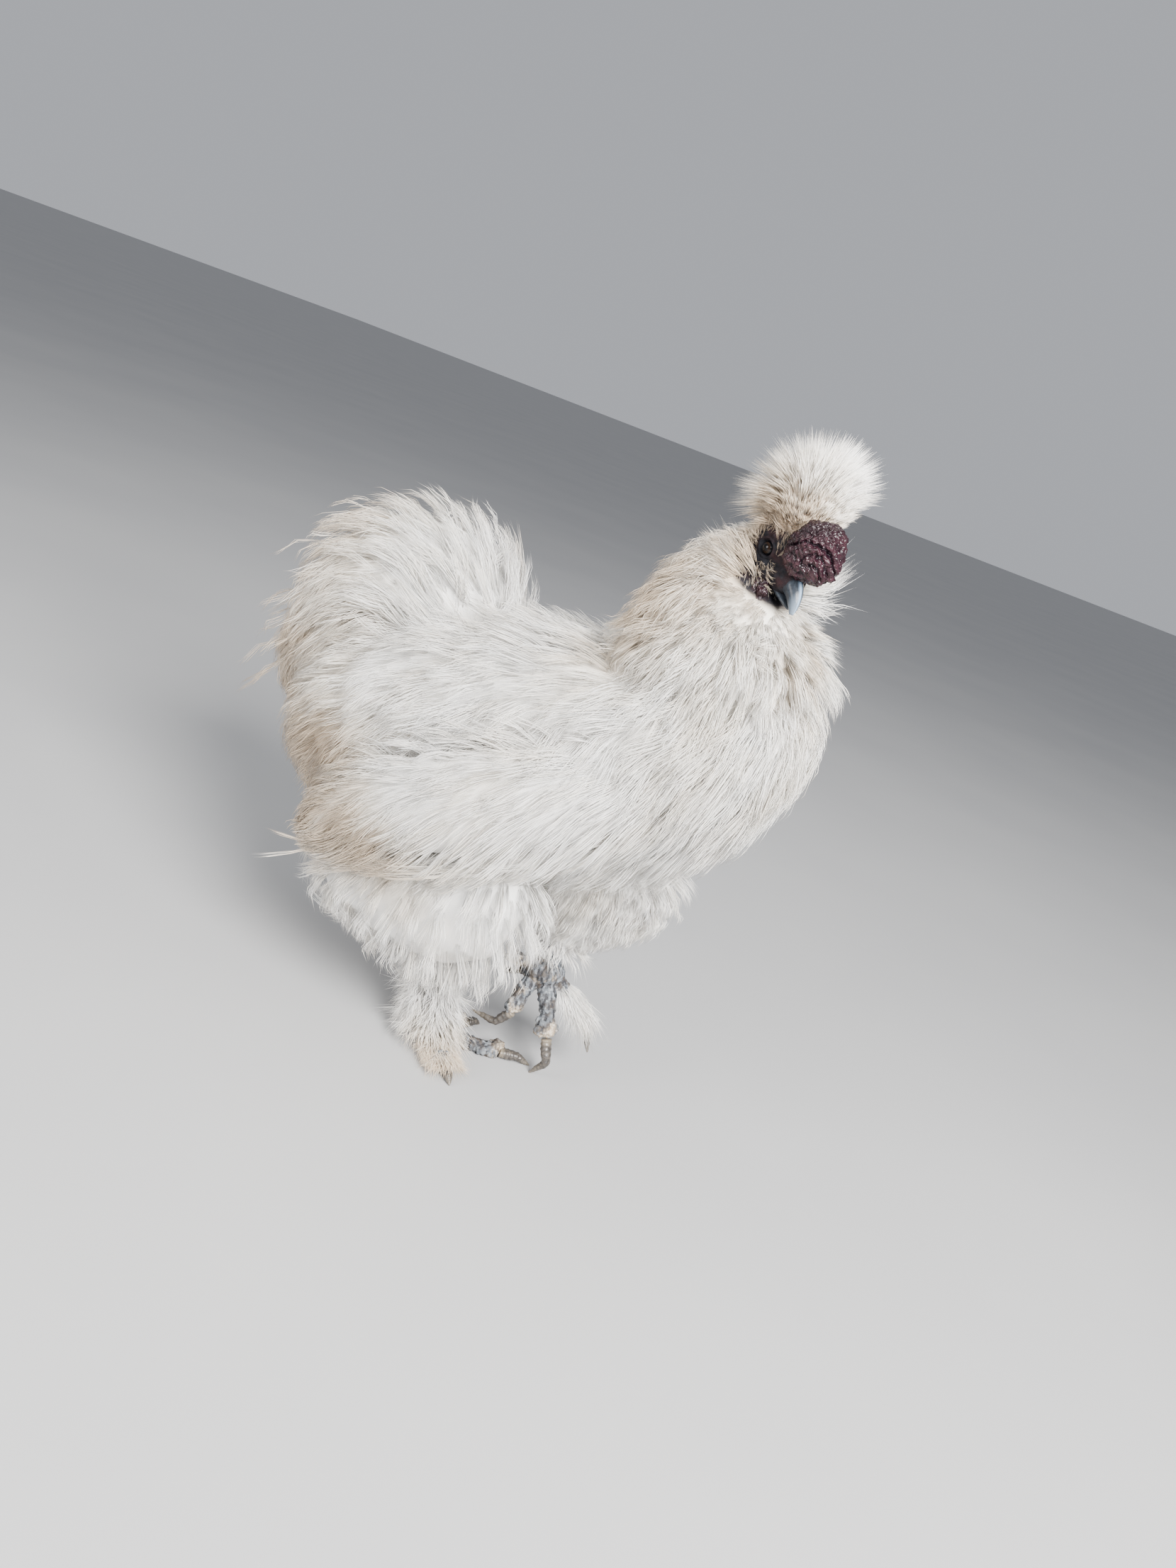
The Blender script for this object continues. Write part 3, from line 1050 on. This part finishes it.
# The hackle
# Long soft neck feathers fall from below the ruff over the shoulders and breast, the longest at the back.


def over_neck(points, along):
    back = np.interp(points[:, 0], (0.04, 0.09, 0.14), (0.75, 0.35, -0.25))
    return np.column_stack([-back, 0.5 * (points[:, 1] - MIDDLE) / 0.06, np.full(len(along), -1.0)])


def by_face(points):
    """Where hackle would hang in front of the face and throat."""
    return size_of(from_head(points) - (0.012, 0, -0.008)) < 0.034


coat = Coat(24)
clothe(coat, NECK, 840, (0.05, 0.99), over_neck, 0.032, 0.0050, tips=(0.88, 1.02), root=0.60, wave=0.05,
       clump=0.7, lift=0.01, thick=FINE, kept_off=by_face)
coat.make("neck_hackle", white_down, "down", "neck")

# The tail
# A silkie's tail is a round cushion of silk with no stiff feathers.  Its tufts rise from the saddle, arch
# over and droop behind, and a few loose curls stand past them.


def over_cushion(points, along):
    spread = 0.4 * (points[:, 1] - MIDDLE) / 0.07
    return CUSHION.frame(along)[1] + np.column_stack([np.zeros(len(along)), spread, np.full(len(along), -0.10)])


coat = Coat(25)
clothe(coat, CUSHION, 820, (0.04, 0.97), over_cushion, 0.046, 0.0060, tips=(0.80, 0.99), lift=0.01, wander=0.5,
       clump=0.7, thick=FINE)
coat.make("tail_cushion_silk", white_down, "stained_down", "tail")

# Loose curls stand off the cushion, arch over and hang behind it
coat = Coat(45)
count = 70
along, degrees = coat.dice.uniform(0.22, 0.86, count), coat.dice.uniform(-10, 190, count)
begin = CUSHION.at(along, degrees, 0.80)
run = CUSHION.frame(along)[1]
out = unit(begin - CUSHION.at(along, degrees, 0.1))
long = coat.dice.uniform(0.020, 0.037, (count, 1))
over = begin + long * (0.45 * run + 0.42 * out)
end = begin + long * (0.80 * run + 0.40 * out - np.array((0.12, 0, 0.16)))
place = unwrapped(along, degrees % 360 / 360)
coat.add(begin, over, end, out, np.full(count, 0.0026), place, strands=6, thick=0.00014, clump=0.6, wave=0.07,
         loose=0.10)
coat.make("tail_curls", white_down, "stained_down", "tail")

# The wings
# The folded wing is coverts like the rest of the down, and below them a ragged row of soft flight feathers.

FLIGHTS = 15


def along_wing(points, along):
    fall = np.interp(along, (0.0, 0.5, 1.0), (1.60, 1.30, 0.60))
    return np.column_stack([-np.ones(len(along)), np.zeros(len(along)), -fall])


for name, side in SIDES.items():
    coat = Coat(26 + side)
    clothe(coat, WINGS[name], 560, (0.0, 0.90), along_wing, 0.040, 0.0055, (TRUNK,), tips=(0.88, 1.04),
           cover=0.74, ends=0.97)
    # Soft flight feathers lie in a ragged row along the lower edge, and two bare quills stick out behind
    wing = WINGS[name]
    share = np.linspace(0.20, 0.80, FLIGHTS)
    lower = 180.0 if side < 0 else 0.0
    begin = wing.at(share, lower + coat.dice.uniform(-12, 12, FLIGHTS), 0.72)
    run = wing.frame(share)[1]
    long = coat.dice.uniform(0.062, 0.088, (FLIGHTS, 1)) * (1.0 - 0.30 * share[:, None])
    over = begin + 0.50 * long * run + (0, 0.004 * side, -0.007)
    end = begin + long * (run + (0, -0.06 * side, 0.05)) + coat.dice.normal(0, 0.003, (FLIGHTS, 3))
    place = np.column_stack([0.01 + 0.97 * share, np.full(FLIGHTS, 0.5)])
    coat.add(begin, over, end, np.tile((0.0, side, 0.35), (FLIGHTS, 1)), np.full(FLIGHTS, 0.0062), place,
             strands=34, thick=FINE, clump=0.75, wave=0.006, loose=0.035, sheet=0.12, ends=(0.55, 1.0))
    share = np.array((0.80, 0.84))
    begin = wing.at(share, np.full(2, lower), 0.5)
    end = begin + ((-0.052, 0.004 * side, -0.014), (-0.046, 0.006 * side, -0.030))
    over = 0.5 * (begin + end) + (0, 0.003 * side, -0.004)
    place = np.column_stack([share, np.full(2, 0.2)])
    coat.add(begin, over, end, np.tile((0.0, side, 0.4), (2, 1)), np.full(2, 0.0010), place, strands=7,
             thick=FINE, clump=0.2, wave=0.004, loose=0.02, sheet=0.10, ends=(0.85, 1.0))
    coat.make("wing_silk_" + name, white_down, "stained_down", "wing_" + name)

# The down of the thighs
# Thick down hangs from the thighs over the shanks, straighter and finer than on the body.


def down_thigh(points, along):
    return np.tile((-0.22, 0.0, -1.0), (len(along), 1))


for name, side in SIDES.items():
    coat = Coat(30 + side, STRAIGHT)
    clothe(coat, THIGHS[name], 640, (0.0, 0.93), down_thigh, 0.026, 0.0050, (TRUNK,), tips=(0.88, 1.05),
           cover=0.58, clump=0.45, thick=0.00015)
    coat.make("thigh_down_" + name, white_down, "down", "thigh_" + name)

# The beard and muffs
# A full ruff of short fluff stands out round the throat and cheeks, longest at the sides, and hides the ears.


def turned(up, across):
    """How far round a spoke is, as a share of a whole turn."""
    return np.arctan2(up, across) / math.tau % 1.0


def head_tufts(coat, centre, out, root, reach, fall, width, lean=(0, 0, 0), swell=0.62, **more):
    """Tufts that stand out from a point on the head's axes, leaning forward in their middle."""
    count = len(out)
    long = reach * coat.dice.uniform(0.84, 1.10, (count, 1))
    begin = centre + root * out
    end = centre + long * out + np.array(fall)
    over = centre + swell * long * out + np.array(lean)
    place = unwrapped(turned(out[:, 2], out[:, 1]), (out[:, 0] + 1) / 2)
    away = (out + np.array((0.9, 0, 0.3))) @ HEAD_TURN.T
    wide = width * coat.dice.uniform(0.7, 1.2, count)
    coat.add(on_head(begin), on_head(over), on_head(end), unit(away), wide, place, **more)


LOBE = np.array((0.63, 0.76, 0.13))  # the way from the beard's middle to the left wattle
coat = Coat(34, STRAIGHT)
for low, high, first, last, count, root, reach in (
        (-0.60, -0.15, -215, 35, 150, 0.013, 0.038), (-0.15, 0.30, -205, 25, 190, 0.013, 0.040),
        (0.30, 0.60, -168, -12, 140, 0.014, 0.044)):
    forward = coat.dice.uniform(low, high, count)
    swing = np.radians(first + (last - first) * ((np.arange(count) * 0.618034 + 0.1) % 1.0))
    flat = np.sqrt(1 - forward ** 2)
    out = np.column_stack([forward, flat * np.cos(swing), flat * np.sin(swing)])
    out = unit(out + 0.10 * coat.dice.normal(size=out.shape))
    # The lobes of the wattles are left showing
    out = out[(out @ LOBE < 0.80) & (out @ (LOBE * (1, -1, 1)) < 0.80)]
    reach = reach * (1 + 0.45 * within(out[:, 1:2]))
    head_tufts(coat, np.array((0.003, 0, -0.022)), out, root, reach, (-0.007, 0, -0.001), 0.0042,
               lean=(0.006, 0, 0.001), strands=14, thick=FINE, wave=0.045, loose=0.14)
coat.make("beard_and_muffs", white_down, "down", "beard")

# Shorter fluff springs from the edge of the bare face and lies away from it over the throat and cheeks
RUFF = 760
FACE_MIDDLE = on_head((0.009, 0, -0.006))


def round_the_face(points):
    away = (points - FACE_MIDDLE) * (1.0, 0.86, 1.0)
    crest = size_of(points - CREST_CORE) < CREST_SEAT + 0.0025
    return (bareness(points) < 0.95) & (size_of(away) < 0.047) & ~crest


coat = Coat(33, STRAIGHT)
spot, rise = spots_on(flesh, round_the_face, RUFF, coat.dice)
gap = spot - FACE_MIDDLE
far = size_of(gap)[:, None]
lie = unit(gap - (gap * rise).sum(axis=1)[:, None] * rise)
lie = unit(lie + 0.5 * drift(spot, 0.016, 91) + 0.15 * coat.dice.normal(size=(RUFF, 3)))
stand = np.clip((far - 0.012) / 0.016, 0.30, 1.0)
# At the back of the head it lies close and falls to the hackle
local = from_head(spot)
behind = -0.020 - local[:, 0]
above = np.minimum(-0.006 - local[:, 0], local[:, 2] + 0.008)
nape = within(np.maximum(behind, above) / 0.008)[:, None]
lie = unit(lie + nape * np.array((-0.35, 0, -1.3)))
lie[:, 2] = np.where(local[:, 0] < 0.004, np.minimum(lie[:, 2], -0.20), lie[:, 2])
# No tuft grows into the skin
lie = unit(lie - np.minimum((lie * rise).sum(axis=1) - 0.06, 0)[:, None] * rise)
stand = stand * (1 - 0.85 * nape) * (1 - 0.8 * within(rise[:, 2:]))
beside = within(local[:, 1:2] / 0.02)
long = coat.dice.uniform(0.013, 0.021, (RUFF, 1)) * (0.55 + 0.45 * stand) * (1 + 0.45 * beside)
over = spot + long * (0.35 * lie + 0.55 * stand * rise)
end = spot + long * (0.90 * lie + 0.55 * stand * rise)
place = unwrapped(turned(local[:, 2], local[:, 1]), within(far[:, 0] / 0.05))
coat.add(spot - 0.0012 * rise, over, end, rise, 0.0030 * coat.dice.uniform(0.7, 1.3, RUFF), place, strands=12,
         thick=0.00015, clump=0.6, wave=0.05, loose=0.16)
coat.make("throat_and_cheek_ruff", white_down, "down", "beard", "neck")

# The crest
# A puff of fine, straight feathers stands on the skull behind the comb and leans back, creamy at its base.

CREST_MIDDLE = np.array((0.1065, 0.003, 0.3785))
CREST_REACH = 0.0278
CREST_FRONT = 0.0215  # the shorter reach behind the comb
coat = Coat(35, STRAIGHT)
out = spread_over_ball(700, -0.92)
out = out[~((out @ HEAD_TURN[:, 0] > 0.30) & (out[:, 2] < -0.75))]
out = unit(out + 0.10 * coat.dice.normal(size=out.shape))
count = len(out)
back = np.maximum(0, -out[:, :1])
front = within(2.0 * (out @ HEAD_TURN[:, :1]) - 1.5 * out[:, 2:])
vary = coat.dice.uniform(0.78, 1.12, (count, 1))
tip = CREST_MIDDLE + CREST_REACH * vary * out - back * np.array((0.015, 0, 0.004))
tip = tip - back * within(0.2 - out[:, 2:]) * np.array((0.008, 0.002, 0.012))
tip = (1 - front) * tip + front * (CREST_CORE + CREST_FRONT * vary * out + (0, 0, 0.008))
root = CREST_CORE + (0.009 + 0.004 * front) * out
over = 0.45 * root + 0.55 * tip + (1 - front) * np.array((0, 0, 0.004)) + 0.002 * front * out
place = unwrapped(turned(out[:, 1], out[:, 0]), (out[:, 2] + 1) / 2)
coat.add(root, over, tip, unit(out + np.array((0, 0, 0.7))), 0.0042 * coat.dice.uniform(0.7, 1.2, count), place,
         strands=16, thick=0.00016, clump=0.35, wave=0.014, loose=0.12)
coat.make("crest_puff", white_down, "down", "crest")

# The fluff of the face
# Sparse pale wisps grow on the bare skin round the eye, between it and the comb, and down the cheek.

WISPS = 620


def on_the_face(points):
    local = from_head(points)
    eye = size_of(np.abs(local) * (0, 1, 0) + local * (1, 0, 1) - EYE)
    return (bareness(points) > 0.8) & (local[:, 0] < 0.010) & (eye > 0.0072)


coat = Coat(36)
spot, rise = spots_on(flesh, on_the_face, WISPS, coat.dice)
local = from_head(spot)
sides = np.sign(local[:, 1:2])
gap = local - EYE * np.column_stack([np.ones(WISPS), sides[:, 0], np.ones(WISPS)])
curl = np.column_stack([-gap[:, 2], np.zeros(WISPS), gap[:, 0]]) * np.where(gap[:, :1] > 0, 1, -1)
lie = unit(unit(gap) + 1.1 * unit(curl) - (0.3, 0, 0.1)) @ HEAD_TURN.T
lie = lie - (lie * rise).sum(axis=1)[:, None] * rise
lie = unit(lie + 0.25 * coat.dice.normal(size=(WISPS, 3)))
long = coat.dice.uniform(0.0035, 0.0085, (WISPS, 1))
place = unwrapped((local[:, 0] + 0.03) / 0.06, (local[:, 2] + 0.03) / 0.06)
over = spot + 0.5 * long * (lie + 0.9 * rise)
tip = spot + long * (lie + 0.35 * rise)
coat.add(spot - 0.0004 * rise, over, tip, rise, np.full(WISPS, 0.0007), np.clip(place, 0.01, 0.98),
         strands=3, thick=0.00005, clump=0.2, wave=0.03, loose=0.25)
coat.make("face_wisps", white_down, "down", "head")

# The fluff of the shanks
# Short soft feathers stand round each shank, longest on its outer side, and fall over the foot from the outer
# toe. They are stained where they brush the ground.

TIPS_LOW = 0.0040  # the least height that their tips are aimed at


def along_path(path, share):
    rows = smooth_curve(path, 60)
    place = share * 59
    low = np.minimum(place.astype(int), 58)
    part = (place - low)[:, None]
    return rows[low] * (1 - part) + rows[low + 1] * part


for name, outward, count, stops in (("right", -30, 420, (0.0, 0.97)), ("left", 22, 90, (0.0, 0.45))):
    coat = Coat(37 + SIDES[name], STRAIGHT)
    share = stops[0] + (stops[1] - stops[0]) * (np.arange(count) + 0.5) / count
    swing = np.radians((np.arange(count) * SPIRAL) % 360)
    out = np.column_stack([np.cos(swing), np.sin(swing), np.zeros(count)])
    middle = along_path(SHANKS[name], share)
    longer = within(np.cos(swing - math.radians(outward)))[:, None]
    low = share[:, None]
    tip = middle + out * (0.017 + 0.006 * low + 0.020 * longer ** 2 * low) - (0, 0, 0.013)
    tip = tip + 0.0035 * coat.dice.normal(size=tip.shape)
    tip[:, 2] = np.maximum(tip[:, 2], TIPS_LOW)
    over = middle + out * (0.015 + 0.004 * low + 0.012 * longer ** 2 * low) - (0, 0, 0.004)
    place = unwrapped(share, swing / math.tau % 1.0)
    coat.add(middle + 0.004 * out, over, tip, unit(out + (0, 0, 0.3)), np.full(count, 0.0034), place,
             strands=13, thick=FINE, clump=0.8, wave=0.10, loose=0.26)
    # Feathers fall from the outer toe
    toe = smooth_curve(TOES[name]["outer"][:3], 60)
    count = 150
    share = coat.dice.uniform(0.10, 0.85, count)
    spot = toe[(share * 59).astype(int)]
    run = unit(toe[-1:] - toe[:1])
    swing = coat.dice.uniform(-1, 1, (count, 1))
    beside = unit(np.cross(run, np.array((0, 0, 1.0))))
    out = unit(0.8 * run + beside * swing + np.array((0, 0, 0.55)) * (1 - np.abs(swing)))
    tip = spot + 0.018 * out + 0.005 * run - (0, 0, 0.011)
    tip[:, 2] = np.maximum(tip[:, 2], TIPS_LOW)
    place = np.column_stack([0.01 + 0.3 * share, 0.5 + 0.2 * swing[:, 0]])
    over = spot + 0.013 * out + (0, 0, 0.002)
    coat.add(spot, over, tip, unit(out + (0, 0, 0.5)), np.full(count, 0.0032), place, strands=13,
             thick=FINE, clump=0.7, wave=0.09, loose=0.28)
    coat.make("shank_fluff_" + name, white_down, "stained_down", "shank_" + name)

# The floor
# A plain pale sheet wide enough to fill the view, with a faint mottle so that it isn't dead flat.

shape = bmesh.new()
bmesh.ops.create_grid(shape, x_segments=2, y_segments=2, size=30.0)
floor = new_piece("studio_floor", shape)
matt = Finish("pale_studio_floor", 0.75)
matt.colour(matt.ramp(matt.noise(3.0), (0.3, (0.36, 0.36, 0.365)), (0.7, (0.39, 0.39, 0.39))))
floor.data.materials.append(matt.paint)

# The lights
# A large soft lamp stands high before the bird, with a weak one overhead, one low behind it on the camera's
# side and a pale room round all.

world = bpy.data.worlds.new("pale_room")
bpy.context.scene.world = world
world.use_nodes = True
world.node_tree.nodes["Background"].inputs["Color"].default_value = (0.90, 0.93, 1.0, 1.0)
world.node_tree.nodes["Background"].inputs["Strength"].default_value = 0.52


def soft_lamp(name, place, aim, size, power, colour):
    lamp = bpy.data.lights.new(name, "AREA")
    lamp.shape = "DISK"
    lamp.size = size
    lamp.energy = power
    lamp.color = colour
    stand = bpy.data.objects.new(name, lamp)
    stand.location = place
    stand.rotation_euler = (Vector(aim) - Vector(place)).to_track_quat("-Z", "Y").to_euler()
    bpy.context.scene.collection.objects.link(stand)


soft_lamp("key_lamp", (1.20, -0.75, 1.05), (0.0, 0.0, 0.2), 0.9, 140.0, (1.0, 0.985, 0.965))
soft_lamp("top_lamp", (-0.2, 0.3, 1.9), (0.0, 0.0, 0.15), 1.6, 10.0, (0.94, 0.97, 1.0))
soft_lamp("fill_lamp", (-0.6, -1.6, 0.65), (0.0, 0.0, 0.15), 1.0, 36.0, (1.0, 0.985, 0.97))

# The camera
# It stands at the photograph's place: above the bird's right front, turned down, and rolled.

HEADING = math.radians(28)
PITCH = math.radians(16.731)
ROLL = math.radians(20.788)
EYE_POINT = (0.3412, -0.5592, 0.3821)
FOCAL_SHARE = 1711.51 / 2212  # its focal length to the picture's height
level = Vector((math.cos(HEADING), math.sin(HEADING), 0))
ahead = Vector((-math.sin(HEADING), math.cos(HEADING), 0))
look = ahead * math.cos(PITCH) - Vector((0, 0, 1)) * math.sin(PITCH)
down = look.cross(level)
right = math.cos(ROLL) * level - math.sin(ROLL) * down
below = math.sin(ROLL) * level + math.cos(ROLL) * down
lens = bpy.data.cameras.new("view")
lens.sensor_fit = "AUTO"
lens.sensor_width = 36.0
lens.lens = FOCAL_SHARE * lens.sensor_width
lens.clip_start = 0.01
camera = bpy.data.objects.new("view", lens)
camera.matrix_world = Matrix([(right[k], -below[k], -look[k], EYE_POINT[k]) for k in range(3)] + [(0, 0, 0, 1)])
bpy.context.scene.collection.objects.link(camera)
bpy.context.scene.camera = camera
